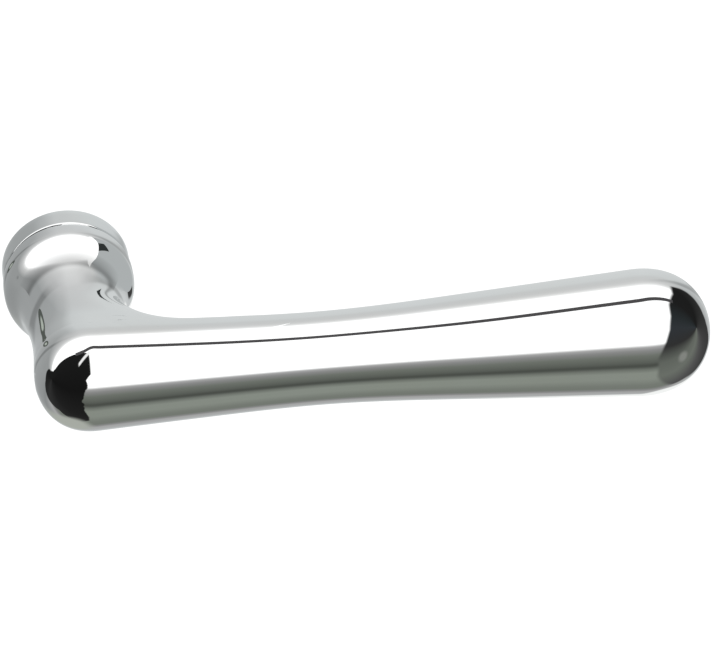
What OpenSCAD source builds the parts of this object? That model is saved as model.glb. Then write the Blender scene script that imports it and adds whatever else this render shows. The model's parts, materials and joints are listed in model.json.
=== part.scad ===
// Door lever handle on a slim round rose.
// A thick, waisted grip stands on a neck that flares into a hollow bell, and the
// bell turns in front of a plain ring of its own diameter. The bell hides a
// torsion spring, a stop pin and the nylon bush that the lever turns in.
// Millimetres. The origin is the centre of the rose's back face on the spindle
// axis: +X runs along the grip to its free end, -Y leaves the door, +Z is up.

/* [Grip] */
// Distance from the spindle axis to the centre of the grip's free end
grip_len = 117.5; // [105:0.5:130]
// Distance from the door to the grip's axis
grip_out = 46; // [44:0.5:50]
// Radius of the grip over the neck
grip_r0 = 11.4; // [11:0.1:12.5]
// Radius of the grip a fifth of the way along
grip_r1 = 10.3; // [9.8:0.1:11]
// Radius of the grip at its waist
grip_r2 = 9.7; // [9:0.1:10.5]
// Radius of the grip two thirds of the way along
grip_r3 = 11.05; // [10:0.05:12]
// Radius of the grip at its free end
grip_r4 = 13.45; // [12:0.05:14.5]
// Length of the rounded cap behind the neck
cap_near = 10.3; // [9:0.1:12]
// Length of the rounded cap at the free end
cap_free = 13.7; // [12:0.1:15]

/* [Neck] */
// Radius of the neck at its narrowest
neck_r = 9.7; // [9.3:0.1:9.9]
// Radius of the neck where it enters the grip
neck_r_grip = 10.3; // [9.9:0.1:10.6]
// Radius of the inner corner between neck and grip
neck_fillet = 18.5; // [16:0.5:22]
// Largest radius of the bell
bell_r = 13.95; // [13.8:0.05:14.4]
// Length of the bell from its rim to the narrowest neck
bell_len = 24; // [22:0.5:26]

/* [Rose] */
// Outer radius of the rose's cover ring
ring_r = 13.7; // [13.4:0.1:14]
// Depth of the rose, from the door to the ring's front
rose_depth = 6.1; // [6:0.1:6.6]
// Running gap between the ring and the bell
bell_gap = 0.4; // [0.3:0.05:0.5]

/* [Works] */
// Width of the square spindle socket across its flats
socket_w = 8.1; // [8.05:0.01:8.2]
// Diameter of the spring wire
wire_d = 1.8; // [1.6:0.1:1.8]
// How far the lever turns down, in degrees
travel = 45; // [30:1:45]

/* [Hidden] */
$fn = 96;

// Radii of the works, all about the spindle axis
journal_r = 6.5;
bush_r = 7.3;
insert_r = 7.1;
flange_r = 8.8;
recess_r = 7.9;
base_r = 12.5;
lip_r = 11.8;
cavity_r = 12.2;
spring_r = 8.6;
spring_room = 9.8;
pin_r = 0.9;
pin_at = 10.6;
bolt_at = 9.8;
bolt_core = 1.65;

// Depths of the works, measured out from the door
gasket_t = 0.5;
recess_t = 2.9;
slot_t = rose_depth - 1.9;
bush_t = rose_depth + 0.6;
washer_t = bush_t + 0.4;
shoulder_t = washer_t + 0.1;
rim_t = rose_depth + bell_gap;
wide_t = rim_t + 3;
floor_t = rim_t + 9.6;
pin_t = rim_t + 7;
tang_t = floor_t + 2.4;
insert_end = 31;
socket_end = 27;
grub_t = 22.5;

// Angles about the spindle axis, measured from +X towards +Z
pin_a = 90 + travel / 2;
leg_a = 270;

// Local +Z leaves the door, local +X is +X and local +Y is up
module out() { rotate([90, 0, 0]) children(); }

// A disc or tube between two depths
module tube(r_out, r_in, t0, t1) {
    translate([0, 0, t0]) difference() {
        cylinder(r = r_out, h = t1 - t0);
        if (r_in > 0) translate([0, 0, -1]) cylinder(r = r_in, h = t1 - t0 + 2);
    }
}

// A smooth curve through stations: value at x, for rising xs
function cubic(u, a, b, sa, sb) =
    (2*u*u*u - 3*u*u + 1) * a + (u*u*u - 2*u*u + u) * sa +
    (3*u*u - 2*u*u*u) * b + (u*u*u - u*u) * sb;
function slope(xs, ys, i) = let (n = len(xs) - 1)
    i == 0 ? (ys[1] - ys[0]) / (xs[1] - xs[0]) :
    i == n ? (ys[n] - ys[n - 1]) / (xs[n] - xs[n - 1]) :
    (ys[i + 1] - ys[i - 1]) / (xs[i + 1] - xs[i - 1]);
function below(xs, x, i = 0) = i + 2 >= len(xs) || x < xs[i + 1] ? i : below(xs, x, i + 1);
function curve(xs, ys, x) = let (i = below(xs, x), l = xs[i + 1] - xs[i])
    cubic((x - xs[i]) / l, ys[i], ys[i + 1], slope(xs, ys, i) * l, slope(xs, ys, i + 1) * l);

// The grip's radius along its length
grip_x = [0, 25, 50, 80, grip_len];
grip_y = [grip_r0, grip_r1, grip_r2, grip_r3, grip_r4];
function grip_r(x) = curve(grip_x, grip_y, x);

// The bell and neck: share of the bell's extra radius left at each share of its length
bell_x = [0, 0.125, 0.19, 0.29, 0.395, 0.5, 0.63, 0.8, 1];
bell_y = [1, 1, 0.95, 0.72, 0.46, 0.31, 0.19, 0.065, 0];
function bell_at(u) = neck_r + (bell_r - neck_r) * curve(bell_x, bell_y, u);

// Share of the radius left in the rounded caps, which run into the body smoothly
cap_run = 2.4;
function cap_at(x) = let (s = max(0, (cap_run - x) / (cap_near + cap_run),
                                  (x - grip_len + cap_run) / (cap_free + cap_run)))
    sqrt(max(0, 1 - pow(s, 2.2)));

module grip() {
    nc = 10;
    nb = 28;
    near = [for (i = [0:nc - 1]) cap_run - (cap_near + cap_run) * cos(90 * i / nc)];
    body = [for (i = [0:nb]) cap_run + (grip_len - 2 * cap_run) * i / nb];
    free = [for (i = [1:nc]) grip_len - cap_run + (cap_free + cap_run) * sin(90 * i / nc)];
    xs = concat(near, body, free);
    n = len(xs) - 1;
    translate([0, 0, grip_out]) rotate([0, 90, 0]) rotate_extrude()
        polygon([for (i = [0:n]) [i == 0 || i == n ? 0 : grip_r(xs[i]) * cap_at(xs[i]), xs[i]]]);
}

module neck() {
    n = 16;
    m = 4;
    lip = 0.4;
    end_t = rim_t + bell_len;
    skirt = [for (i = [0:n]) let (u = lip / bell_len + (1 - lip / bell_len) * i / n)
        [bell_at(u), rim_t + bell_len * u]];
    column = [for (i = [1:m]) let (u = i / m)
        [neck_r + (neck_r_grip - neck_r) * u * u, end_t + (grip_out - end_t) * u]];
    rotate_extrude() polygon(concat([[0, rim_t], [bell_r - lip, rim_t]], skirt, column, [[0, grip_out]]));
}

// Quarter of a ring that carries the neck round into the grip
module elbow() {
    tr = neck_r - 0.5;
    bend = neck_fillet + tr;
    // The elbow's end sinks a little into the grip
    t = grip_out - grip_r(bend) + tr - bend + 0.2;
    translate([bend, 0, t]) rotate([90, 0, 0])
        rotate([0, 0, 90]) rotate_extrude(angle = 90) translate([bend, 0]) circle(r = tr);
}

module lever_handle() {
    color([0.80, 0.81, 0.82]) out() difference() {
        union() { grip(); neck(); elbow(); }
        // Hollow bell, wide over the rose and narrower round the spring
        translate([0, 0, rim_t - 1]) cylinder(r = cavity_r, h = wide_t - rim_t + 1);
        translate([0, 0, rim_t]) cylinder(r = spring_room, h = floor_t - rim_t);
        // Bore for the pressed insert
        translate([0, 0, rim_t]) cylinder(r = insert_r, h = insert_end - rim_t);
        // Holes for the stop pin and for the spring's tang
        rotate([0, 0, pin_a]) translate([pin_at, 0, rim_t]) cylinder(r = pin_r, h = pin_t - rim_t);
        rotate([0, 0, tang_a]) translate([tang_r, 0, floor_t - 1]) cylinder(r = wire_d / 2 + 0.1, h = tang_t + 1 - floor_t);
        // Tapped hole for the grub screw, from below
        translate([0, 0, grub_t]) rotate([90, 0, 0]) cylinder(r = 3, h = 12);
    }
}

module neck_insert() {
    w = socket_w;
    color([0.72, 0.70, 0.66]) out() difference() {
        union() {
            tube(journal_r, 0, 0.3, shoulder_t + 1);
            tube(insert_r, 0, shoulder_t, insert_end);
        }
        translate([-w / 2, -w / 2, -1]) cube([w, w, socket_end + 1]);
        // Groove for the retaining ring
        tube(journal_r + 2, journal_r - 0.4, 1.0, 1.8);
        translate([0, 0, grub_t]) rotate([90, 0, 0]) cylinder(r = 3, h = 12);
    }
}

module grub_screw() {
    color([0.30, 0.30, 0.31]) out() translate([0, 0, grub_t]) rotate([90, 0, 0])
        translate([0, 0, socket_w / 2 + 0.1]) difference() {
            union() {
                cylinder(r1 = 2.2, r2 = 3, h = 0.8);
                translate([0, 0, 0.8]) cylinder(r = 3, h = 4.2);
            }
            translate([0, 0, 2.6]) cylinder(r = 1.73, h = 4, $fn = 6);
        }
}

module stop_pin() {
    color([0.60, 0.60, 0.61]) out() rotate([0, 0, pin_a]) translate([pin_at, 0, slot_t + 0.2])
        cylinder(r = pin_r, h = pin_t - slot_t - 0.2);
}

// Snap ring in the insert's groove, open at the bottom
module retaining_ring() {
    color([0.35, 0.35, 0.36]) out() difference() {
        tube(recess_r - 0.3, journal_r - 0.4, 1.05, 1.75);
        translate([-2.2, -12, 0]) cube([4.4, 12, 3]);
    }
}

module rose_ring() {
    r = ring_r;
    d = rose_depth;
    color([0.80, 0.81, 0.82]) out() rotate_extrude() polygon([
        [base_r + 0.1, 0.1], [r - 0.2, 0.1], [r, 0.3], [r, d - 0.5], [r - 0.15, d - 0.15], [r - 0.5, d],
        [lip_r + 0.1, d], [lip_r + 0.1, d - 0.8], [base_r + 0.1, d - 0.8]]);
}

module rose_base() {
    d = rose_depth;
    color([0.62, 0.63, 0.64]) out() difference() {
        union() {
            tube(base_r, 0, gasket_t, d - 0.8);
            tube(lip_r, 0, d - 1, d);
        }
        // Bush bore, and the recess behind it
        cylinder(r = bush_r, h = d + 1);
        translate([0, 0, -1]) cylinder(r = recess_r, h = recess_t + 1);
        // Groove for the ring that grips the cover
        tube(base_r + 2, base_r - 0.8, 2.4, 3.6);
        // Tapped holes for the bolts that come through the door
        for (s = [-1, 1]) translate([s * bolt_at, 0, -1]) cylinder(r = bolt_core, h = d - 0.1);
        // Curved slot that the stop pin runs in
        rotate([0, 0, 90 - travel / 2 - 0.4]) translate([0, 0, slot_t])
            rotate_extrude(angle = travel + 0.8) translate([pin_at - pin_r - 0.1, 0]) square([2 * pin_r + 0.2, 4]);
        for (s = [-1, 1]) rotate([0, 0, 90 + s * (travel / 2 + 0.4)]) translate([pin_at, 0, slot_t])
            cylinder(r = pin_r + 0.1, h = 4);
        // Hole for the spring's fixed leg
        rotate([0, 0, leg_a]) translate([pin_at, 0, slot_t]) cylinder(r = wire_d / 2 + 0.1, h = 4);
    }
}

module cover_o_ring() {
    color([0.10, 0.10, 0.10]) out() translate([0, 0, 3]) rotate_extrude()
        translate([base_r - 0.35, 0]) circle(r = 0.44, $fn = 24);
}

module bearing_bush() {
    color([0.90, 0.89, 0.84]) out() difference() {
        union() {
            tube(bush_r, 0, recess_t, bush_t);
            tube(flange_r, 0, rose_depth, bush_t);
        }
        translate([0, 0, -1]) cylinder(r = journal_r + 0.05, h = 20);
    }
}

module thrust_washer() {
    color([0.75, 0.74, 0.70]) out() tube(flange_r, journal_r + 0.2, bush_t, washer_t);
}

module rear_washer() {
    color([0.68, 0.68, 0.69]) out() tube(recess_r - 0.1, journal_r + 0.1, recess_t - 0.4, recess_t);
}

// Thin ring with three waves that takes up the play behind the rose
module wave_washer() {
    n = 48;
    h = 0.15;
    mid = recess_t - 0.78;
    pts = [for (i = [0:n - 1]) let (a = 360 * i / n, t = mid + 0.17 * cos(3 * a))
        each [for (q = [[journal_r + 0.15, -h], [recess_r - 0.2, -h], [recess_r - 0.2, h], [journal_r + 0.15, h]])
            [q[0] * cos(a), q[0] * sin(a), t + q[1]]]];
    faces = [for (i = [0:n - 1]) for (k = [0:3])
        let (a = i * 4 + k, b = i * 4 + (k + 1) % 4, c = ((i + 1) % n) * 4 + k, d = ((i + 1) % n) * 4 + (k + 1) % 4)
            each [[a, c, d], [a, d, b]]];
    color([0.50, 0.51, 0.53]) out() polyhedron(pts, faces, convexity = 4);
}

// Torsion spring: a fixed leg stands in the base and runs in to the coil, and
// the coil's far end turns up into a tang that stands in the lever
turns = 3.5;
corner = 1.5;
coil_t0 = washer_t + 0.2 + wire_d / 2;
coil_t1 = floor_t - 0.2 - wire_d / 2;
lead = sqrt(pin_at * pin_at - spring_r * spring_r);
coil_a0 = leg_a + atan(lead / spring_r);
coil_a1 = coil_a0 + 360 * turns;
tang_r = sqrt(spring_r * spring_r + corner * corner);
tang_a = coil_a1 + atan(corner / spring_r);
leg_p = [pin_at * cos(leg_a), pin_at * sin(leg_a)];
leg_d = [-sin(coil_a0), cos(coil_a0)];
tang_d = [-sin(coil_a1), cos(coil_a1)];
coil_p1 = [spring_r * cos(coil_a1), spring_r * sin(coil_a1)];
leg_pts = concat(
    [[leg_p[0], leg_p[1], slot_t + 0.3]],
    [for (i = [0:4]) let (a = 90 * i / 4, s = corner * (1 - cos(a)))
        [leg_p[0] + leg_d[0] * s, leg_p[1] + leg_d[1] * s, coil_t0 - corner + corner * sin(a)]]);
coil_pts = [for (i = [0:24 * turns]) let (u = i / (24 * turns), a = coil_a0 + 360 * turns * u)
    [spring_r * cos(a), spring_r * sin(a), coil_t0 + (coil_t1 - coil_t0) * u]];
tang_pts = concat(
    [for (i = [1:4]) let (a = 90 * i / 4, s = corner * sin(a))
        [coil_p1[0] + tang_d[0] * s, coil_p1[1] + tang_d[1] * s, coil_t1 + corner * (1 - cos(a))]],
    [[coil_p1[0] + tang_d[0] * corner, coil_p1[1] + tang_d[1] * corner, tang_t - 0.2]]);

function unit(v) = v / norm(v);
// Carries a cross-section's side vector along the wire without twisting it
function carried(x, d) = unit(x - (x * d) * d);
function sides(dirs, x, i = 0) = i == len(dirs) ? [] :
    let (c = carried(x, dirs[i])) concat([c], sides(dirs, c, i + 1));

module wire(pts, d, n) {
    m = len(pts);
    dirs = [for (i = [0:m - 1]) unit(pts[min(i + 1, m - 1)] - pts[max(i - 1, 0)])];
    xs = sides(dirs, [1, 0, 0]);
    rings = [for (i = [0:m - 1]) let (y = cross(dirs[i], xs[i]))
        for (k = [0:n - 1]) let (a = 360 * k / n) pts[i] + d / 2 * (cos(a) * xs[i] + sin(a) * y)];
    faces = concat(
        [[for (k = [0:n - 1]) k]],
        [for (i = [0:m - 2]) for (k = [0:n - 1]) let (a = i * n + k, b = i * n + (k + 1) % n)
            each [[a, a + n, b + n], [a, b + n, b]]],
        [[for (k = [n - 1:-1:0]) (m - 1) * n + k]]);
    polyhedron(rings, faces, convexity = 6);
}

module return_spring() {
    color([0.45, 0.46, 0.48]) out() wire(concat(leg_pts, coil_pts, tang_pts), wire_d, 8);
}

module backing_gasket() {
    color([0.15, 0.15, 0.15]) out() difference() {
        tube(base_r, recess_r - 0.3, 0, gasket_t);
        for (s = [-1, 1]) translate([s * bolt_at, 0, -1]) cylinder(r = 1.9, h = 3);
    }
}

lever_handle();
neck_insert();
grub_screw();
stop_pin();
retaining_ring();
rose_ring();
rose_base();
cover_o_ring();
bearing_bush();
thrust_washer();
rear_washer();
wave_washer();
return_spring();
backing_gasket();
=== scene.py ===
"""Looks for the door lever handle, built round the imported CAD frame.

Metres, in the row frame: +X along the grip to its free end, -Y out of the door, +Z up.
The lever, the rose's ring and the return spring are modelled again here as finer meshes
inside the CAD solids' boxes. Every other piece is the CAD node with its own finish.
"""

import json
import math

import bmesh
import bpy
import numpy as np
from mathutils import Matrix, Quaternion, Vector


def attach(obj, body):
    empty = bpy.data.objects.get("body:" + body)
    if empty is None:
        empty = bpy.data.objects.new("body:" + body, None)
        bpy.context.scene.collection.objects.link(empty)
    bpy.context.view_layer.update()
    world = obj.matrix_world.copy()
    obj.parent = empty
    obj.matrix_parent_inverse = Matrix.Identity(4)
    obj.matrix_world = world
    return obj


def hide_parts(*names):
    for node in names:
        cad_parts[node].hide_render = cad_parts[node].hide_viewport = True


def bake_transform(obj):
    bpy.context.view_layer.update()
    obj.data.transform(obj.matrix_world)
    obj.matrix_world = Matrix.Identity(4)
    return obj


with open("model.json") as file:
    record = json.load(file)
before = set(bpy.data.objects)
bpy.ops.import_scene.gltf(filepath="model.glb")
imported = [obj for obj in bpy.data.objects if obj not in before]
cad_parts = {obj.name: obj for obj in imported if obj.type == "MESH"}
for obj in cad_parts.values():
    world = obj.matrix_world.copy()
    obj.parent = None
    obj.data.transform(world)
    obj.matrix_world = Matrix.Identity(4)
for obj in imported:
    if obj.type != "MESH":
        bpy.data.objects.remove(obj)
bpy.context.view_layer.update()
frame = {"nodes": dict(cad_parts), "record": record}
MM = 0.001


# ---------------------------------------------------------------- curves

class Spline:
    """Cubic spline with continuous curvature. An end without a slope is left natural."""

    def __init__(self, xs, ys, start=None, end=None):
        self.x = x = np.asarray(xs, float)
        self.y = y = np.asarray(ys, float)
        n = len(x)
        h = np.diff(x)
        a = np.zeros((n, n))
        b = np.zeros(n)
        for i in range(1, n - 1):
            a[i, i - 1], a[i, i], a[i, i + 1] = h[i - 1], 2 * (h[i - 1] + h[i]), h[i]
            b[i] = 6 * ((y[i + 1] - y[i]) / h[i] - (y[i] - y[i - 1]) / h[i - 1])
        if start is None:
            a[0, 0] = 1
        else:
            a[0, 0], a[0, 1] = 2 * h[0], h[0]
            b[0] = 6 * ((y[1] - y[0]) / h[0] - start)
        if end is None:
            a[-1, -1] = 1
        else:
            a[-1, -1], a[-1, -2] = 2 * h[-1], h[-1]
            b[-1] = 6 * (end - (y[-1] - y[-2]) / h[-1])
        self.m = np.linalg.solve(a, b)
        self.h = h
        self.s0 = (y[1] - y[0]) / h[0] - h[0] * (2 * self.m[0] + self.m[1]) / 6
        self.s1 = (y[-1] - y[-2]) / h[-1] + h[-1] * (self.m[-2] + 2 * self.m[-1]) / 6

    def __call__(self, t):
        t = np.asarray(t, float)
        c = np.clip(t, self.x[0], self.x[-1])
        i = np.clip(np.searchsorted(self.x, c) - 1, 0, len(self.h) - 1)
        h = self.h[i]
        u = (c - self.x[i]) / h
        v = 1 - u
        value = (v * self.y[i] + u * self.y[i + 1]
                 + ((v ** 3 - v) * self.m[i] + (u ** 3 - u) * self.m[i + 1]) * h * h / 6)
        below = np.minimum(t - self.x[0], 0)
        above = np.maximum(t - self.x[-1], 0)
        return value + below * self.s0 + above * self.s1


# ---------------------------------------------------------------- the lever's surface
# In millimetres: x along the grip, y up, t out of the door.

GRIP_T = 46.0
GRIP_END = 117.5
CAP_NEAR = 10.3
CAP_FREE = 13.7
RIM_T = 6.5
CUT_T = 8.6
BELL_R = 13.95
ELBOW_R = 9.2
ELBOW_BEND = 27.7
ELBOW_T = 17.5

grip_radius = Spline([0, 25, 50, 80, GRIP_END], [11.4, 10.3, 9.7, 11.05, 13.45], -0.05, 0.065)
neck_radius = Spline([6.5, 9.5, 11.0, 13.5, 16.0, 18.5, 21.6, 25.7, 30.5, 38, GRIP_T],
                     [13.95, 13.93, 13.72, 12.75, 11.67, 11.02, 10.5, 9.97, 9.72, 9.85, 10.3], 0.0, 0.08)


def grip_field(x, y, t):
    s = grip_radius(x)
    cap = np.maximum(np.maximum((2.4 - x) / (CAP_NEAR + 2.4), (x - GRIP_END + 2.5) / (CAP_FREE + 2.5)), 0)
    r = np.sqrt(y * y + (t - GRIP_T) ** 2)
    return (np.sqrt((r / s) ** 2 + cap ** 2.2) - 1) * s


def neck_field(x, y, t):
    s = neck_radius(np.minimum(t, GRIP_T))
    cap = np.maximum(t - 42.0, 0) / 13.0
    r = np.sqrt(x * x + y * y)
    return (np.sqrt((r / s) ** 2 + cap * cap) - 1) * s


def elbow_field(x, y, t):
    dx = np.minimum(x - ELBOW_BEND, 0)
    dt = np.maximum(t - ELBOW_T, 0)
    reach = np.sqrt(dx * dx + dt * dt)
    r = np.sqrt((reach - ELBOW_BEND) ** 2 + y * y)
    cap = np.maximum(x - ELBOW_BEND, 0) / 12.0
    return (np.sqrt((r / ELBOW_R) ** 2 + cap * cap) - 1) * ELBOW_R


def slope_of(field, x, y, t, e=0.02):
    g = np.stack([field(x + e, y, t) - field(x - e, y, t),
                  field(x, y + e, t) - field(x, y - e, t),
                  field(x, y, t + e) - field(x, y, t - e)], -1)
    return g / np.maximum(np.linalg.norm(g, axis=-1, keepdims=True), 1e-9)


def blended(a, b, ga, gb):
    """Union of two fields, rounded over a width that shrinks as the surfaces become parallel."""
    angle = np.sqrt(2 * np.clip(1 - (ga * gb).sum(-1), 0, 2))
    k = 7.0 * np.tanh(angle * 8.0 / 7.0) + 1e-4
    h = np.maximum(k - np.abs(a - b), 0) / k
    return np.minimum(a, b) - h ** 3 * k / 6


def lever_field(x, y, t):
    n, e, g = neck_field(x, y, t), elbow_field(x, y, t), grip_field(x, y, t)
    gn, ge, gg = (slope_of(f, x, y, t) for f in (neck_field, elbow_field, grip_field))
    ne = blended(n, e, gn, ge)
    w = np.clip(0.5 + (e - n) / 4.0, 0, 1)[..., None]
    w = w * w * (3 - 2 * w)
    gne = gn * w + ge * (1 - w)
    gne /= np.maximum(np.linalg.norm(gne, axis=-1, keepdims=True), 1e-9)
    return blended(ne, g, gne, gg)


def surface_net(field, low, shape, h):
    """Quads over the zero surface of a field, one vertex in each cell that it crosses."""
    ax = [low[i] + h * np.arange(shape[i]) for i in range(3)]
    f = field(*np.meshgrid(*ax, indexing="ij"))
    inside = f < 0
    n = [s - 1 for s in shape]
    total = np.zeros(n + [3])
    count = np.zeros(n)
    for axis in range(3):
        a = [slice(None)] * 3
        b = [slice(None)] * 3
        a[axis], b[axis] = slice(0, -1), slice(1, None)
        fa, fb = f[tuple(a)], f[tuple(b)]
        cross = (fa < 0) != (fb < 0)
        share = np.where(cross, fa / np.where(cross, fa - fb, 1), 0)
        other = [i for i in range(3) if i != axis]
        for p in (0, 1):
            for q in (0, 1):
                pick = [slice(None)] * 3
                pick[other[0]] = slice(p, p + n[other[0]])
                pick[other[1]] = slice(q, q + n[other[1]])
                c, s = cross[tuple(pick)], share[tuple(pick)]
                count += c
                total[..., axis] += np.where(c, s, 0)
                total[..., other[0]] += np.where(c, p, 0)
                total[..., other[1]] += np.where(c, q, 0)
    used = count > 0
    index = np.full(n, -1)
    index[used] = np.arange(used.sum())
    cell = np.argwhere(used)
    points = (cell + total[used] / count[used][:, None]) * h + np.array(low)
    quads = []
    for axis in range(3):
        u, v = (axis + 1) % 3, (axis + 2) % 3
        a = [slice(1, -1)] * 3
        b = [slice(1, -1)] * 3
        a[axis], b[axis] = slice(0, -1), slice(1, None)
        ia, ib = inside[tuple(a)], inside[tuple(b)]
        where = np.argwhere(ia != ib)
        out = ia[tuple(where.T)]
        base = where.copy()
        base[:, u] += 1
        base[:, v] += 1
        corner = []
        for du, dv in ((-1, -1), (0, -1), (0, 0), (-1, 0)):
            c = base.copy()
            c[:, u] += du
            c[:, v] += dv
            corner.append(index[tuple(c.T)])
        q = np.stack(corner, 1)
        q[~out] = q[~out][:, ::-1]
        quads.append(q)
    return points, np.concatenate(quads)


def ring_order(quads):
    """The open edge of a quad mesh as one loop of vertices, in order."""
    edges = {}
    for q in quads:
        for i in range(4):
            a, b = int(q[i]), int(q[(i + 1) % 4])
            edges[(a, b)] = edges.get((a, b), 0) + 1
    nxt = {a: b for (a, b) in edges if (b, a) not in edges}
    start = min(nxt)
    loop = [start]
    while nxt[loop[-1]] != start:
        loop.append(nxt[loop[-1]])
    return np.array(loop)


def lever_mesh(step):
    low = (-17.0, -16.4, CUT_T - step / 2)
    shape = [int((135.0 - low[0]) / step), int(32.8 / step) + 1, int((62.5 - low[2]) / step)]
    points, quads = surface_net(lever_field, low, shape, step)
    rim = ring_order(quads)
    n = len(points)
    pairs = np.concatenate([quads[:, [0, 1]], quads[:, [1, 2]], quads[:, [2, 3]], quads[:, [3, 0]]])
    pairs = np.concatenate([pairs, pairs[:, ::-1]])
    degree = np.bincount(pairs[:, 0], minlength=n).astype(float)
    m = len(rim)
    # The open edge is an even ring of points on the bell, in the order it was found
    angle = np.arctan2(points[rim, 1], points[rim, 0])
    turn = np.sign(((np.diff(angle) + np.pi) % (2 * np.pi) - np.pi).sum())
    even = angle[0] + turn * 2 * np.pi * np.arange(m) / m
    even += np.mean((angle - even + np.pi) % (2 * np.pi) - np.pi)
    edge = np.stack([BELL_R * np.cos(even), BELL_R * np.sin(even), np.full(m, CUT_T)], 1)
    for k in range(14):
        points[rim] = edge
        mean = np.stack([np.bincount(pairs[:, 0], points[pairs[:, 1], c], n) for c in range(3)], 1) / degree[:, None]
        normal = slope_of(lever_field, *points.T)
        move = mean - points
        move -= normal * (move * normal).sum(1, keepdims=True)
        points = points + 0.6 * move
        for _ in range(2):
            value = lever_field(*points.T)
            points = points - slope_of(lever_field, *points.T) * value[:, None]
    points[rim] = edge
    # Rings down the rim and up into the hollow bell share the open edge's angles
    profile = [(BELL_R, 7.4), (BELL_R, 6.95), (13.91, 6.74), (13.79, 6.60), (13.6, 6.52), (13.4, RIM_T),
               (12.35, RIM_T), (12.24, 6.54), (12.2, 6.65), (12.2, 9.45), (12.15, 9.5), (9.85, 9.5),
               (9.8, 9.55), (9.8, 16.05), (9.75, 16.1), (7.2, 16.1), (7.1, 16.2), (7.1, 31.0), (3.5, 31.0)]
    extra, faces = [], [tuple(int(i) for i in q) for q in quads]
    previous = [int(i) for i in rim]
    for r, t in profile:
        start = n + len(extra)
        extra += [(r * math.cos(a), r * math.sin(a), t) for a in even]
        now = list(range(start, start + m))
        for i in range(m):
            j = (i + 1) % m
            faces.append((previous[j], previous[i], now[i], now[j]))
        previous = now
    centre = n + len(extra)
    extra.append((0, 0, 31.0))
    for i in range(m):
        faces.append((previous[(i + 1) % m], previous[i], centre))
    return np.concatenate([points, np.array(extra)]), faces


def to_world(points):
    p = np.asarray(points, float)
    return np.stack([p[:, 0], -p[:, 2], p[:, 1]], 1) * MM


def mesh_object(name, points, faces, outward=True):
    mesh = bpy.data.meshes.new(name)
    mesh.from_pydata([tuple(p) for p in points], [], faces)
    mesh.validate()
    obj = bpy.data.objects.new(name, mesh)
    bpy.context.scene.collection.objects.link(obj)
    if outward:
        bm = bmesh.new()
        bm.from_mesh(mesh)
        bmesh.ops.recalc_face_normals(bm, faces=bm.faces)
        bm.to_mesh(mesh)
        bm.free()
    return obj


def apply_modifiers(obj):
    depsgraph = bpy.context.evaluated_depsgraph_get()
    mesh = bpy.data.meshes.new_from_object(obj.evaluated_get(depsgraph))
    old = obj.data
    obj.modifiers.clear()
    obj.data = mesh
    mesh.name = obj.name
    bpy.data.meshes.remove(old)


def rod(name, start, end, radius, sides=48):
    """A straight round cutter between two points, in world metres."""
    a, b = Vector(start), Vector(end)
    d = (b - a).normalized()
    side = d.orthogonal().normalized()
    up = d.cross(side)
    ring = [math.cos(2 * math.pi * i / sides) * side + math.sin(2 * math.pi * i / sides) * up for i in range(sides)]
    points = [a + radius * v for v in ring] + [b + radius * v for v in ring]
    faces = [(i, (i + 1) % sides, sides + (i + 1) % sides, sides + i) for i in range(sides)]
    faces += [tuple(reversed(range(sides))), tuple(range(sides, 2 * sides))]
    return mesh_object(name, points, faces)


def cut(obj, cutters):
    for c in cutters:
        m = obj.modifiers.new("cut", "BOOLEAN")
        m.operation = "DIFFERENCE"
        m.solver = "EXACT"
        m.object = c
    apply_modifiers(obj)
    for c in cutters:
        bpy.data.objects.remove(c)


def at(angle, radius, t):
    a = math.radians(angle)
    return (radius * math.cos(a) * MM, -t * MM, radius * math.sin(a) * MM)


# Spring geometry, as in the CAD
WIRE = 1.8
SPRING_R = 8.6
LEG_A = 270.0
LEG_R = 10.6
CORNER = 1.5
TURNS = 3.5
COIL_0 = 7.1 + 0.2 + WIRE / 2
COIL_1 = 16.1 - 0.2 - WIRE / 2
lead = math.sqrt(LEG_R ** 2 - SPRING_R ** 2)
COIL_A0 = LEG_A + math.degrees(math.atan(lead / SPRING_R))
COIL_A1 = COIL_A0 + 360 * TURNS
TANG_R = math.hypot(SPRING_R, CORNER)
TANG_A = COIL_A1 + math.degrees(math.atan(CORNER / SPRING_R))

lever = mesh_object("lever_handle_visual", *(lambda p, f: (to_world(p), f))(*lever_mesh(0.75)))
cut(lever, [
    rod("c0", (0, -0.0225, 0), (0, -0.0225, -0.0135), 0.003),
    rod("c1", at(112.5, 10.6, 8.5), at(112.5, 10.6, 13.5), 0.0009, 24),
    rod("c2", at(TANG_A, TANG_R, 15.1), at(TANG_A, TANG_R, 18.5), 0.001, 24),
])


def polish_normals(obj):
    """The outer skin takes its normals from the exact surface; edges inside stay crisp."""
    mesh = obj.data
    mesh.shade_smooth()
    mesh.set_sharp_from_angle(angle=math.radians(28))
    co = np.zeros(len(mesh.vertices) * 3)
    mesh.vertices.foreach_get("co", co)
    co = co.reshape(-1, 3) / MM
    local = np.stack([co[:, 0], co[:, 2], -co[:, 1]], 1)
    value = lever_field(*local.T)
    skin = (np.abs(value) < 0.012) & (local[:, 2] > CUT_T - 0.01)
    normal = slope_of(lever_field, *local.T)
    normal = np.stack([normal[:, 0], -normal[:, 2], normal[:, 1]], 1)
    loops = np.zeros((len(mesh.loops), 3))
    for p in mesh.polygons:
        idx = list(p.vertices)
        if all(skin[i] for i in idx):
            for l, v in zip(p.loop_indices, idx):
                loops[l] = normal[v]
    mesh.normals_split_custom_set([tuple(v) for v in loops])


polish_normals(lever)
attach(lever, "lever")
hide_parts("lever_handle")


# ---------------------------------------------------------------- the rose's ring

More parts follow.
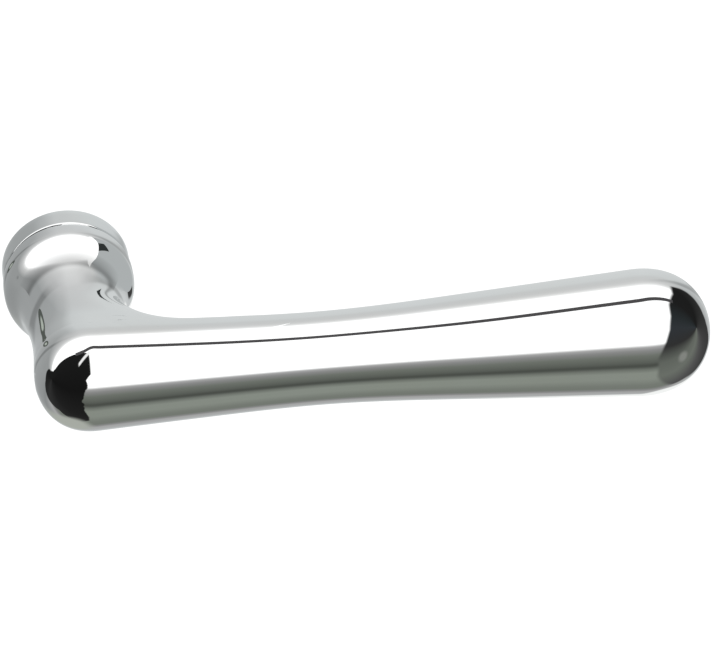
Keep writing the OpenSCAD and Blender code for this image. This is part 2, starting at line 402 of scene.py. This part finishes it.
def turned(name, profile, sides, crisp=30):
    """A closed ring turned about the spindle axis from (radius, depth) points, in mm."""
    k = len(profile)
    points, faces = [], []
    for i in range(sides):
        a = 360.0 * i / sides
        points += [at(a, r, t) for r, t in profile]
    for i in range(sides):
        j = (i + 1) % sides
        for q in range(k):
            w = (q + 1) % k
            faces.append((i * k + q, i * k + w, j * k + w, j * k + q))
    obj = mesh_object(name, points, faces)
    obj.data.shade_smooth()
    obj.data.set_sharp_from_angle(angle=math.radians(crisp))
    return obj


def arc(cr, ct, r, a0, a1, n):
    return [(cr + r * math.cos(math.radians(a0 + (a1 - a0) * i / n)),
             ct + r * math.sin(math.radians(a0 + (a1 - a0) * i / n))) for i in range(n + 1)]


ring_profile = ([(12.6, 0.1)] + arc(13.5, 0.3, 0.2, -90, 0, 4) + [(13.7, 2.0), (13.7, 4.0)]
                + arc(12.85, 5.25, 0.85, 0, 90, 14) + [(12.4, 6.1), (11.9, 6.1), (11.9, 5.3), (12.6, 5.3)])
ring = turned("rose_ring_visual", ring_profile, 240)
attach(ring, "rose")
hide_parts("rose_ring")


# ---------------------------------------------------------------- the return spring

def spring_path():
    leg = np.array(at(LEG_A, LEG_R, 0))
    a0, a1 = math.radians(COIL_A0), math.radians(COIL_A1)
    leg_d = np.array([-math.sin(a0), 0, math.cos(a0)])
    tang_d = np.array([-math.sin(a1), 0, math.cos(a1)])
    out = np.array([0, -1.0, 0])
    pts = [leg + out * (4.5 * MM), leg + out * (5.6 * MM)]
    for i in range(9):
        a = math.pi / 2 * i / 8
        pts.append(leg + leg_d * (CORNER * (1 - math.cos(a)) * MM)
                   + out * ((COIL_0 - CORNER + CORNER * math.sin(a)) * MM))
    n = int(56 * TURNS)
    for i in range(n + 1):
        u = i / n
        pts.append(np.array(at(COIL_A0 + 360 * TURNS * u, SPRING_R, COIL_0 + (COIL_1 - COIL_0) * u)))
    end = np.array(at(COIL_A1, SPRING_R, 0))
    for i in range(1, 9):
        a = math.pi / 2 * i / 8
        pts.append(end + tang_d * (CORNER * math.sin(a) * MM) + out * ((COIL_1 + CORNER * (1 - math.cos(a))) * MM))
    pts.append(end + tang_d * (CORNER * MM) + out * (18.3 * MM))
    return np.array(pts)


def swept(name, path, radius, sides):
    m = len(path)
    d = np.array([path[min(i + 1, m - 1)] - path[max(i - 1, 0)] for i in range(m)])
    d /= np.linalg.norm(d, axis=1, keepdims=True)
    side = np.array([1.0, 0, 0])
    points = []
    for i in range(m):
        side = side - d[i] * side.dot(d[i])
        side /= np.linalg.norm(side)
        up = np.cross(d[i], side)
        for k in range(sides):
            a = 2 * math.pi * k / sides
            points.append(path[i] + radius * (math.cos(a) * side + math.sin(a) * up))
    faces = [(i * sides + k, (i + 1) * sides + k, (i + 1) * sides + (k + 1) % sides, i * sides + (k + 1) % sides)
             for i in range(m - 1) for k in range(sides)]
    faces += [tuple(range(sides)), tuple(reversed(range((m - 1) * sides, m * sides)))]
    obj = mesh_object(name, points, faces)
    obj.data.shade_smooth()
    obj.data.set_sharp_from_angle(angle=math.radians(50))
    return obj


spring = swept("return_spring_visual", spring_path(), WIRE / 2 * MM, 14)
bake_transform(spring)
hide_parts("return_spring")


# ---------------------------------------------------------------- camera

def look():
    a, e = math.radians(-8.01), math.radians(31.04)
    back = Vector((math.sin(a) * math.cos(e), -math.cos(a) * math.cos(e), math.sin(e)))
    right = Vector((math.cos(a), math.sin(a), 0))
    up = back.cross(right)
    pivot = Vector((0.055, -0.030, 0))
    place = pivot + back * 0.873
    aim = pivot + right * 0.00363 - up * 0.001315
    data = bpy.data.cameras.new("camera")
    data.lens = 209.7
    data.sensor_width = 36.0
    data.clip_start = 0.01
    data.clip_end = 50.0
    cam = bpy.data.objects.new("camera", data)
    bpy.context.scene.collection.objects.link(cam)
    cam.location = place
    turn = (aim - place).to_track_quat("-Z", "Y") @ Quaternion((0, 0, 1), math.radians(-0.23))
    cam.rotation_euler = turn.to_euler()
    bpy.context.scene.camera = cam


look()


# ---------------------------------------------------------------- finishes

class Nodes:
    """Short names for building a node tree."""

    def __init__(self, tree):
        self.tree = tree
        tree.nodes.clear()

    def add(self, kind, **settings):
        n = self.tree.nodes.new(kind)
        for k, v in settings.items():
            setattr(n, k, v)
        return n

    def link(self, a, b):
        self.tree.links.new(a, b)

    def put(self, socket, value):
        if isinstance(value, bpy.types.NodeSocket):
            self.link(value, socket)
        elif value is not None:
            socket.default_value = value

    def math(self, op, a, b=None, c=None, clamp=False):
        n = self.add("ShaderNodeMath", operation=op, use_clamp=clamp)
        for i, v in enumerate((a, b, c)):
            self.put(n.inputs[i], v)
        return n.outputs[0]

    def ramp(self, fac, stops, mode="LINEAR"):
        n = self.add("ShaderNodeValToRGB")
        r = n.color_ramp
        r.interpolation = mode
        while len(r.elements) > 1:
            r.elements.remove(r.elements[0])
        for i, (at_, value) in enumerate(stops):
            e = r.elements[0] if i == 0 else r.elements.new(at_)
            e.position = at_
            v = value if isinstance(value, (tuple, list)) else (value,) * 3
            e.color = (v[0], v[1], v[2], 1)
        self.put(n.inputs[0], fac)
        return n.outputs[0]

    def mix(self, fac, a, b):
        n = self.add("ShaderNodeMix", data_type="RGBA")
        self.put(n.inputs[0], fac)
        self.put(n.inputs[6], a if isinstance(a, bpy.types.NodeSocket) else (*a, 1))
        self.put(n.inputs[7], b if isinstance(b, bpy.types.NodeSocket) else (*b, 1))
        return n.outputs[2]

    def span(self, value, a, b, c=0.0, d=1.0, smooth=False):
        n = self.add("ShaderNodeMapRange", interpolation_type="SMOOTHSTEP" if smooth else "LINEAR")
        for i, v in enumerate((value, a, b, c, d)):
            self.put(n.inputs[i], v)
        return n.outputs[0]

    def noise(self, where, scale, detail=3.0, rough=0.5, stretch=(1, 1, 1), warp=0.0):
        m = self.add("ShaderNodeMapping")
        m.inputs["Scale"].default_value = stretch
        self.link(where, m.inputs["Vector"])
        n = self.add("ShaderNodeTexNoise")
        n.inputs["Scale"].default_value = scale
        n.inputs["Detail"].default_value = detail
        n.inputs["Roughness"].default_value = rough
        n.inputs["Distortion"].default_value = warp
        self.link(m.outputs[0], n.inputs["Vector"])
        return n.outputs["Fac"]


def material(name):
    m = bpy.data.materials.new(name)
    m.use_nodes = True
    n = Nodes(m.node_tree)
    out = n.add("ShaderNodeOutputMaterial")
    shader = n.add("ShaderNodeBsdfPrincipled")
    n.link(shader.outputs[0], out.inputs["Surface"])
    where = n.add("ShaderNodeTexCoord").outputs["Object"]
    return m, n, shader, where


def bump(n, shader, height, strength, distance):
    b = n.add("ShaderNodeBump")
    b.inputs["Strength"].default_value = strength
    b.inputs["Distance"].default_value = distance
    n.link(height, b.inputs["Height"])
    n.link(b.outputs[0], shader.inputs["Normal"])


def chrome(name, colour, seed=0.0):
    """Bright plating: an almost perfect mirror with a polishing haze, hairlines and faint handling marks."""
    m, n, shader, where = material(name)
    shift = n.add("ShaderNodeVectorMath", operation="ADD")
    n.link(where, shift.inputs[0])
    shift.inputs[1].default_value = (seed, seed * 0.7, seed * 1.3)
    where = shift.outputs[0]
    haze = n.noise(where, 60, 3, 0.5)
    marks = n.span(n.noise(where, 24, 5, 0.6, warp=0.4), 0.55, 0.75)
    hair = n.noise(where, 900, 2, 0.6, stretch=(0.05, 1, 1))
    fine = n.noise(where, 1400, 2, 0.6, stretch=(1, 0.08, 0.5))
    lines = n.math("MULTIPLY", n.span(hair, 0.66, 0.74), n.span(fine, 0.4, 0.7))
    warm = tuple(c * k for c, k in zip(colour, (0.985, 0.98, 0.965)))
    n.link(n.mix(n.span(haze, 0.3, 0.7), colour, warm), shader.inputs["Base Color"])
    rough = n.math("ADD", n.span(haze, 0.3, 0.7, 0.012, 0.028), n.math("MULTIPLY", marks, 0.022))
    rough = n.math("ADD", rough, n.math("MULTIPLY", lines, 0.06))
    n.link(rough, shader.inputs["Roughness"])
    shader.inputs["Metallic"].default_value = 1.0
    height = n.math("ADD", n.noise(where, 45, 1, 0.4), n.math("MULTIPLY", lines, -0.02))
    bump(n, shader, height, 0.02, 0.0004)
    return m


def metal(name, colour, rough, grain, stretch, depth, dark=0.8):
    """Plain worked metal with its grain along one direction."""
    m, n, shader, where = material(name)
    cloud = n.noise(where, 180, 4, 0.55)
    line = n.noise(where, grain, 3, 0.6, stretch=stretch)
    n.link(n.mix(n.span(cloud, 0.3, 0.75), colour, tuple(c * dark for c in colour)), shader.inputs["Base Color"])
    n.link(n.math("ADD", n.span(line, 0.3, 0.7, rough - 0.06, rough + 0.06), n.span(cloud, 0.3, 0.7, -0.03, 0.05)),
           shader.inputs["Roughness"])
    shader.inputs["Metallic"].default_value = 1.0
    bump(n, shader, line, 0.3, depth)
    return m


def cast(name, colour):
    """As-cast zinc: fine pebbled skin with dull flow patches."""
    m, n, shader, where = material(name)
    patch = n.noise(where, 220, 5, 0.6, warp=0.8)
    pebble = n.noise(where, 2600, 2, 0.5)
    n.link(n.mix(n.span(patch, 0.35, 0.7), colour, tuple(c * 0.78 for c in colour)), shader.inputs["Base Color"])
    n.link(n.span(patch, 0.3, 0.7, 0.38, 0.56), shader.inputs["Roughness"])
    shader.inputs["Metallic"].default_value = 0.9
    bump(n, shader, pebble, 0.35, 0.00006)
    return m


def soft(name, colour, rough, speck, depth, level=0.5):
    """Moulded plastic or rubber: slight mottling and a fine moulded texture."""
    m, n, shader, where = material(name)
    mottle = n.noise(where, 260, 4, 0.6)
    grit = n.noise(where, speck, 2, 0.55)
    n.link(n.mix(n.span(mottle, 0.3, 0.7), colour, tuple(c * 0.86 for c in colour)), shader.inputs["Base Color"])
    n.link(n.span(grit, 0.3, 0.7, rough - 0.07, rough + 0.07), shader.inputs["Roughness"])
    shader.inputs["Specular IOR Level"].default_value = level
    bump(n, shader, grit, 0.3, depth)
    return m


finishes = {
    "lever_chrome": chrome("lever_chrome_finish", (0.915, 0.925, 0.93)),
    "ring_chrome": chrome("ring_chrome_finish", (0.90, 0.915, 0.92), 3.1),
    "insert_brass": metal("insert_finish", (0.74, 0.70, 0.60), 0.28, 900, (1, 6, 1), 0.00003),
    "cast_zinc": cast("zinc_finish", (0.60, 0.61, 0.62)),
    "pin_steel": metal("ground_steel_finish", (0.60, 0.60, 0.61), 0.25, 1200, (1, 8, 1), 0.00002),
    "spring_steel": metal("spring_wire_finish", (0.42, 0.43, 0.45), 0.30, 1500, (1, 1, 0.2), 0.00002),
    "black_steel": metal("black_oxide_finish", (0.10, 0.10, 0.11), 0.40, 1100, (1, 1, 1), 0.00003, 0.6),
    "nylon": soft("nylon_finish", (0.86, 0.85, 0.79), 0.42, 1800, 0.00004),
    "black_rubber": soft("rubber_finish", (0.035, 0.035, 0.036), 0.68, 2400, 0.00006, 0.35),
}
for part in frame["record"]["subparts"]:
    data = frame["nodes"][part["node"]].data
    data.materials.clear()
    data.materials.append(finishes[part["material_slot"]])
for piece, slot in ((lever, "lever_chrome"), (ring, "ring_chrome"), (spring, "spring_steel")):
    piece.data.materials.clear()
    piece.data.materials.append(finishes[slot])


# ---------------------------------------------------------------- studio

def studio():
    """White panels in front and overhead, a pale wall behind, a dark room at the sides and a grey bench below.

    The panels are placed by turn, the angle round the grip's long axis (0 in front, 90 overhead,
    180 behind, -90 below), and by lean, the angle towards the grip's free end.
    """
    world = bpy.data.worlds.new("studio")
    bpy.context.scene.world = world
    world.use_nodes = True
    n = Nodes(world.node_tree)
    d = n.add("ShaderNodeSeparateXYZ")
    n.link(n.add("ShaderNodeTexCoord").outputs["Generated"], d.inputs[0])
    x, y, z = d.outputs
    deg = 180 / math.pi
    turn = n.math("MULTIPLY", n.math("ARCTAN2", z, n.math("MULTIPLY", y, -1.0)), deg)
    lean = n.math("MULTIPLY", n.math("ARCSINE", x), deg)
    u = n.math("DIVIDE", n.math("ADD", turn, 180.0), 360.0)

    def by_turn(stops, mode="LINEAR"):
        return n.ramp(u, [((a + 180) / 360, v) for a, v in stops], mode)

    def lean_line(stops):
        r = n.ramp(u, [((a + 180) / 360, (v + 90) / 180) for a, v in stops])
        sep = n.add("ShaderNodeSeparateColor")
        n.link(r, sep.inputs[0])
        return n.math("SUBTRACT", n.math("MULTIPLY", sep.outputs[0], 180.0), 90.0)

    def olive(v):
        return (v * 0.97, v * 1.06, v * 0.93)

    middle = by_turn([
        (-180, 0.69), (-165, 0.70), (-150, 0.66), (-138, 0.62), (-130, 0.60), (-118, 0.46), (-104, 0.40),
        (-98, 0.27), (-90, olive(0.19)), (-80, olive(0.20)), (-62, olive(0.265)), (-48, olive(0.265)),
        (-40, olive(0.18)), (-34, olive(0.085)), (-31, olive(0.075)), (-26, olive(0.11)), (-12, olive(0.17)),
        (-2, 0.27), (4, 0.42), (9, 1.3), (123, 1.3), (128, 0.88),
        (133, 0.70), (140, 0.63), (150, 0.63), (160, 0.69), (180, 0.70)])
    above = by_turn([
        (-180, 0.03), (-150, 0.04), (-120, 0.06), (-95, 0.09), (-60, olive(0.16)), (-30, olive(0.13)),
        (0, 0.032), (35, (0.032, 0.037, 0.042)), (60, (0.022, 0.027, 0.029)), (92, 0.014), (130, 0.013), (180, 0.03)])
    below = by_turn([
        (-180, 0.012), (-130, 0.02), (-100, 0.03), (-60, 0.015), (0, 0.008), (85, 0.012), (180, 0.012)])
    high = lean_line([
        (-180, 53), (-164, 54), (-151, 50), (-145, 43), (-141, 32), (-125, 30), (-110, 30), (-100, 22), (-60, 14),
        (-19, 15), (-5, 20), (10, 25.5), (32, 32), (60, 35), (84, 33), (104, 35.5), (115, 37), (124, 35), (135, 33),
        (141, 38), (152, 44), (163, 49), (180, 53)])
    low = lean_line([
        (-180, -70), (-160, -70), (-147, -69), (-128, -62), (-115, -55), (-101, -49), (-86, -42), (-80, -9),
        (-74, -3), (-56, -7), (-40, -12), (-20, -17), (-2, -14), (11, -7), (24, -10), (31, -6), (36, -2),
        (60, -1.5), (78, -1.5), (84, -5), (88, -40), (92, -70), (104, -77), (135, -77), (155, -72), (180, -70)])
    # The pale wall behind falls off to both sides, more to the left
    fall = n.ramp(n.span(lean, -90.0, 90.0), [(0, 0.48), (0.17, 0.48), (0.30, 0.52), (0.36, 0.56), (0.42, 0.68), (0.47, 0.92),
                                              (0.56, 1.0), (0.66, 0.94), (0.76, 0.70), (1, 0.66)])
    # Darker band seen where the bell runs into the neck
    ringed = n.math("ADD", y, n.math("MULTIPLY", z, 0.13))
    ringed = n.math("ABSOLUTE", n.math("SUBTRACT", ringed, n.span(lean, -5.0, 5.0, 0.785, 0.802)))
    ringed = n.span(ringed, 0.012, n.span(lean, -5.0, 5.0, 0.036, 0.056), 1.0, 0.0, smooth=True)
    ringed = n.math("MULTIPLY", ringed, n.span(n.math("ABSOLUTE", lean), 9.0, 22.0))
    ringed = n.math("SUBTRACT", 1.0, n.math("MULTIPLY", ringed, 0.34))
    fall = n.mix(1.0, (1, 1, 1), fall)
    held = n.add("ShaderNodeMix", data_type="RGBA", blend_type="MULTIPLY")
    held.inputs[0].default_value = 1.0
    n.link(fall, held.inputs[6])
    n.link(ringed, held.inputs[7])
    fall = held.outputs[2]
    back = by_turn([(-180, 1), (-125, 1), (-105, 0), (124, 0), (142, 0.35), (160, 1), (180, 1)])
    fallen = n.add("ShaderNodeMix", data_type="RGBA", blend_type="MULTIPLY")
    n.link(back, fallen.inputs[0])
    n.link(middle, fallen.inputs[6])
    n.link(n.mix(1.0, (1, 1, 1), fall), fallen.inputs[7])
    tint = n.add("ShaderNodeMix", data_type="RGBA", blend_type="MULTIPLY")
    n.link(back, tint.inputs[0])
    n.link(fallen.outputs[2], tint.inputs[6])
    tint.inputs[7].default_value = (0.965, 1.0, 1.005, 1)
    middle = tint.outputs[2]
    near = n.span(lean, n.math("SUBTRACT", high, 2.0), n.math("ADD", high, 3.0), smooth=True)
    colour = n.mix(near, middle, above)
    ragged = n.noise(d.inputs[0].links[0].from_socket, 3.4, 3, 0.6)
    front = by_turn([(-180, 0), (-76, 0), (-60, 1), (22, 1), (30, 0), (180, 0)])
    ragged = n.math("MULTIPLY", n.math("MULTIPLY", n.math("SUBTRACT", ragged, 0.5), 12.0), front)
    low = n.math("ADD", low, ragged)
    deep = n.span(lean, n.math("SUBTRACT", low, 1.0), n.math("ADD", low, 1.0), 1.0, 0.0, smooth=True)
    colour = n.mix(deep, colour, below)

    def spot(a, b, ra, rb, value, edge=0.3):
        """A soft oval of light: turn, lean, the two half-widths, and its level."""
        da = n.math("DIVIDE", n.math("SUBTRACT", turn, a), ra)
        db = n.math("DIVIDE", n.math("SUBTRACT", lean, b), rb)
        r = n.math("SQRT", n.math("ADD", n.math("MULTIPLY", da, da), n.math("MULTIPLY", db, db)))
        return n.span(r, 1 - edge, 1 + edge, 1.0, 0.0, smooth=True), value

    for fac, value in (spot(-105, -16, 28, 16, (0.42, 0.44, 0.40)), spot(-40, 48, 12, 7, (0.24, 0.25, 0.23), 0.5),
                       spot(-128, 16, 20, 8, (0.95, 0.96, 0.95), 0.15)):
        colour = n.mix(fac, colour, value)
    # A long lamp hanging at a slant, to the left of the overhead panel
    across = n.math("ABSOLUTE", n.math("SUBTRACT", n.math("MULTIPLY", n.math("SUBTRACT", turn, 60.0), 0.64),
                                       n.math("MULTIPLY", n.math("ADD", lean, 20.0), 0.77)))
    on = n.math("MULTIPLY", n.span(across, 1.5, 3.0, 1.0, 0.0), n.span(lean, -22.0, -19.0))
    on = n.math("MULTIPLY", on, n.span(lean, -1.0, 1.0, 1.0, 0.0))
    on = n.math("MULTIPLY", on, n.span(turn, 40.0, 45.0))
    colour = n.mix(on, colour, (0.95, 0.95, 0.95))

    lit = n.add("ShaderNodeBackground")
    n.link(colour, lit.inputs[0])
    plain = n.add("ShaderNodeBackground")
    plain.inputs[0].default_value = (1, 1, 1, 1)
    plain.inputs[1].default_value = 1.1
    pick = n.add("ShaderNodeMixShader")
    n.link(n.add("ShaderNodeLightPath").outputs["Is Camera Ray"], pick.inputs[0])
    n.link(lit.outputs[0], pick.inputs[1])
    n.link(plain.outputs[0], pick.inputs[2])
    n.link(pick.outputs[0], n.add("ShaderNodeOutputWorld").inputs["Surface"])


studio()


def soft_light(name, place, target, size, power):
    data = bpy.data.lights.new(name, "AREA")
    data.shape = "RECTANGLE"
    data.size, data.size_y = size
    data.energy = power
    lamp = bpy.data.objects.new(name, data)
    bpy.context.scene.collection.objects.link(lamp)
    lamp.location = place
    lamp.rotation_euler = (Vector(target) - Vector(place)).to_track_quat("-Z", "Y").to_euler()
    lamp.visible_glossy = False
    lamp.visible_camera = False
    return lamp


soft_light("key", (-0.35, -0.7, 0.75), (0.05, -0.03, 0), (0.6, 0.6), 5.0)
soft_light("fill", (0.7, -0.3, 0.25), (0.05, -0.03, 0), (0.5, 0.5), 2.0)

# A pale board just beside the rose, seen only in the reflections on the bell's far side
board_mesh = bpy.data.meshes.new("board")
board_mesh.from_pydata([(0.05 + (v + 0.006) * 0.176, v, w) for v, w in (
    (-0.016, 0.051), (0.000, 0.051), (0.015, 0.0575), (0.045, 0.0745), (0.058, 0.082), (0.058, -0.03),
    (-0.016, -0.03))],
    [], [tuple(range(7))])
board = bpy.data.objects.new("board", board_mesh)
bpy.context.scene.collection.objects.link(board)
bm_ = bpy.data.materials.new("board_pale")
bm_.use_nodes = True
bn = Nodes(bm_.node_tree)
where_b = bn.add("ShaderNodeSeparateXYZ")
bn.link(bn.add("ShaderNodeTexCoord").outputs["Object"], where_b.inputs[0])
board_glow = bn.add("ShaderNodeEmission")
board_glow.inputs[0].default_value = (0.445, 0.468, 0.474, 1)
faded = bn.add("ShaderNodeMixShader")
hidden = bn.math("MAXIMUM", bn.add("ShaderNodeNewGeometry").outputs["Backfacing"],
                 bn.span(where_b.outputs[1], 0.032, 0.056, 0.0, 1.0, smooth=True))
bn.link(hidden, faded.inputs[0])
bn.link(board_glow.outputs[0], faded.inputs[1])
bn.link(bn.add("ShaderNodeBsdfTransparent").outputs[0], faded.inputs[2])
bn.link(faded.outputs[0], bn.add("ShaderNodeOutputMaterial").inputs["Surface"])
board_mesh.materials.append(bm_)

# A small white panel above that board
panel_mesh = bpy.data.meshes.new("panel")
panel_mesh.from_pydata([(0.05 + (v + 0.006) * 0.176, v, w) for v, w in (
    (0.000, 0.051), (0.000, 0.095), (0.058, 0.095), (0.058, 0.082), (0.045, 0.0745), (0.015, 0.0575))], [],
    [(1, 2, 3, 4, 5, 0)])
panel = bpy.data.objects.new("panel", panel_mesh)
bpy.context.scene.collection.objects.link(panel)
pm = bpy.data.materials.new("panel_white")
pm.use_nodes = True
pn = Nodes(pm.node_tree)
panel_glow = pn.add("ShaderNodeEmission")
panel_glow.inputs[0].default_value = (1, 1, 1, 1)
panel_glow.inputs[1].default_value = 1.3
shown = pn.add("ShaderNodeMixShader")
pn.link(pn.add("ShaderNodeNewGeometry").outputs["Backfacing"], shown.inputs[0])
pn.link(panel_glow.outputs[0], shown.inputs[1])
pn.link(pn.add("ShaderNodeBsdfTransparent").outputs[0], shown.inputs[2])
pn.link(shown.outputs[0], pn.add("ShaderNodeOutputMaterial").inputs["Surface"])
panel_mesh.materials.append(pm)

# A small dark plate close to the bell's top
plate_mesh = bpy.data.meshes.new("plate")
plate_mesh.from_pydata([(x * MM, y * MM, z * MM) for x, y, z in (
    (9.7, -10.1, 15.0), (9.8, -12.6, 14.2), (12.8, -11.0, 12.0), (11.3, -9.1, 13.7))], [], [(0, 1, 2, 3)])
plate = bpy.data.objects.new("plate", plate_mesh)
bpy.context.scene.collection.objects.link(plate)
tm = bpy.data.materials.new("plate_dark")
tm.use_nodes = True
tn = Nodes(tm.node_tree)
plate_glow = tn.add("ShaderNodeEmission")
plate_glow.inputs[0].default_value = (0.03, 0.034, 0.034, 1)
tn.link(plate_glow.outputs[0], tn.add("ShaderNodeOutputMaterial").inputs["Surface"])
plate_mesh.materials.append(tm)

# A dark rail that hangs in front of the overhead panel and shows as the line along the grip
RAIL_Z = 0.150
rail_line = Spline([-60, -34, -14, 4, 20, 34, 62, 84, 118, 160, 260], [-64, -61, -54, -42, -39, -47, -62, -67, -53, -44, -42],
                   0.0, 0.0)
rail_x = np.linspace(-60, 236, 119)
rail_y = rail_line(rail_x)
rail_points, rail_faces = [], []
for i, (rx, ry) in enumerate(zip(rail_x, rail_y)):
    rail_points += [(rx * MM, (ry - 9) * MM, RAIL_Z), (rx * MM, (ry + 9) * MM, RAIL_Z)]
    if i:
        rail_faces.append((2 * i - 2, 2 * i, 2 * i + 1, 2 * i - 1))
rail_mesh = bpy.data.meshes.new("rail")
rail_mesh.from_pydata(rail_points, [], rail_faces)
rail = bpy.data.objects.new("rail", rail_mesh)
bpy.context.scene.collection.objects.link(rail)
rm = bpy.data.materials.new("rail_dark")
rm.use_nodes = True
rn = Nodes(rm.node_tree)
rail_glow = rn.add("ShaderNodeEmission")
rail_glow.inputs[0].default_value = (0.075, 0.072, 0.075, 1)
rn.link(rail_glow.outputs[0], rn.add("ShaderNodeOutputMaterial").inputs["Surface"])
rail_mesh.materials.append(rm)
# A grey gauze close round the foot of the neck, which softens the overhead panel there
gauze_angles = [math.radians(20 + 140 * i / 48) for i in range(49)]
gauze_mesh = bpy.data.meshes.new("gauze")
gauze_mesh.from_pydata([(0.014 * math.cos(a), v, 0.014 * math.sin(a)) for a in gauze_angles for v in (-0.0142, -0.0169)],
                       [], [(2 * i, 2 * i + 1, 2 * i + 3, 2 * i + 2) for i in range(48)])
gauze = bpy.data.objects.new("gauze", gauze_mesh)
bpy.context.scene.collection.objects.link(gauze)
gm = bpy.data.materials.new("gauze_grey")
gm.use_nodes = True
gn = Nodes(gm.node_tree)
where_g = gn.add("ShaderNodeSeparateXYZ")
gn.link(gn.add("ShaderNodeTexCoord").outputs["Object"], where_g.inputs[0])
veil = gn.add("ShaderNodeBsdfTransparent")
gn.link(gn.ramp(gn.span(where_g.outputs[1], -0.0169, -0.0142),
                [(0.0, 1.0), (0.14, 0.85), (0.26, 0.62), (0.35, 0.53), (0.48, 0.56), (0.59, 0.66), (0.74, 0.80), (1.0, 1.0)]),
        veil.inputs[0])
gn.link(veil.outputs[0], gn.add("ShaderNodeOutputMaterial").inputs["Surface"])
gauze_mesh.materials.append(gm)

# A small slanted dark oval with a pale middle, to the left behind the rose
oval_mesh = bpy.data.meshes.new("oval")
oval_mesh.from_pydata([(-0.042 + 0.011 * 0.61 * math.cos(a) + 0.0042 * 0.79 * math.sin(a), 0.03,
                        -0.001 - 0.011 * 0.79 * math.cos(a) + 0.0042 * 0.61 * math.sin(a))
                       for a in (2 * math.pi * i / 40 for i in range(40))], [], [tuple(range(40))])
oval = bpy.data.objects.new("oval", oval_mesh)
bpy.context.scene.collection.objects.link(oval)
om = bpy.data.materials.new("oval_dark")
om.use_nodes = True
on_ = Nodes(om.node_tree)
where_o = on_.add("ShaderNodeSeparateXYZ")
on_.link(on_.add("ShaderNodeTexCoord").outputs["Object"], where_o.inputs[0])
dx = on_.math("ADD", where_o.outputs[0], 0.042)
dz = on_.math("ADD", where_o.outputs[2], 0.001)
ua = on_.math("DIVIDE", on_.math("SUBTRACT", on_.math("MULTIPLY", dx, 0.61), on_.math("MULTIPLY", dz, 0.79)), 0.011)
ub = on_.math("DIVIDE", on_.math("ADD", on_.math("MULTIPLY", dx, 0.79), on_.math("MULTIPLY", dz, 0.61)), 0.0042)
off = on_.math("SQRT", on_.math("ADD", on_.math("MULTIPLY", ua, ua), on_.math("MULTIPLY", ub, ub)))
oval_glow = on_.add("ShaderNodeEmission")
on_.link(on_.mix(on_.span(off, 0.35, 0.6, 1.0, 0.0, smooth=True), (0.09, 0.10, 0.09), (0.42, 0.46, 0.41)), oval_glow.inputs[0])
on_.link(oval_glow.outputs[0], on_.add("ShaderNodeOutputMaterial").inputs["Surface"])
oval_mesh.materials.append(om)
for prop in (board, panel, plate, rail, oval, gauze):
    prop.visible_camera = False
    prop.visible_diffuse = False
    prop.visible_shadow = False

# Plain white floor, well below the handle, which stands out from a door and not on the floor
floor_mesh = bpy.data.meshes.new("floor")
floor_mesh.from_pydata([(-6, -6, -0.3), (6, -6, -0.3), (6, 6, -0.3), (-6, 6, -0.3)], [], [(0, 1, 2, 3)])
floor = bpy.data.objects.new("floor", floor_mesh)
bpy.context.scene.collection.objects.link(floor)
fm = bpy.data.materials.new("floor_white")
fm.use_nodes = True
fn = Nodes(fm.node_tree)
glow = fn.add("ShaderNodeEmission")
glow.inputs[0].default_value = (1, 1, 1, 1)
glow.inputs[1].default_value = 1.1
fn.link(glow.outputs[0], fn.add("ShaderNodeOutputMaterial").inputs["Surface"])
floor_mesh.materials.append(fm)
floor.visible_glossy = False
floor.visible_diffuse = False
floor.visible_shadow = False

view = bpy.context.scene.view_settings
view.view_transform = "Standard"
view.look = "None"
view.exposure = 0.0
view.gamma = 1.0
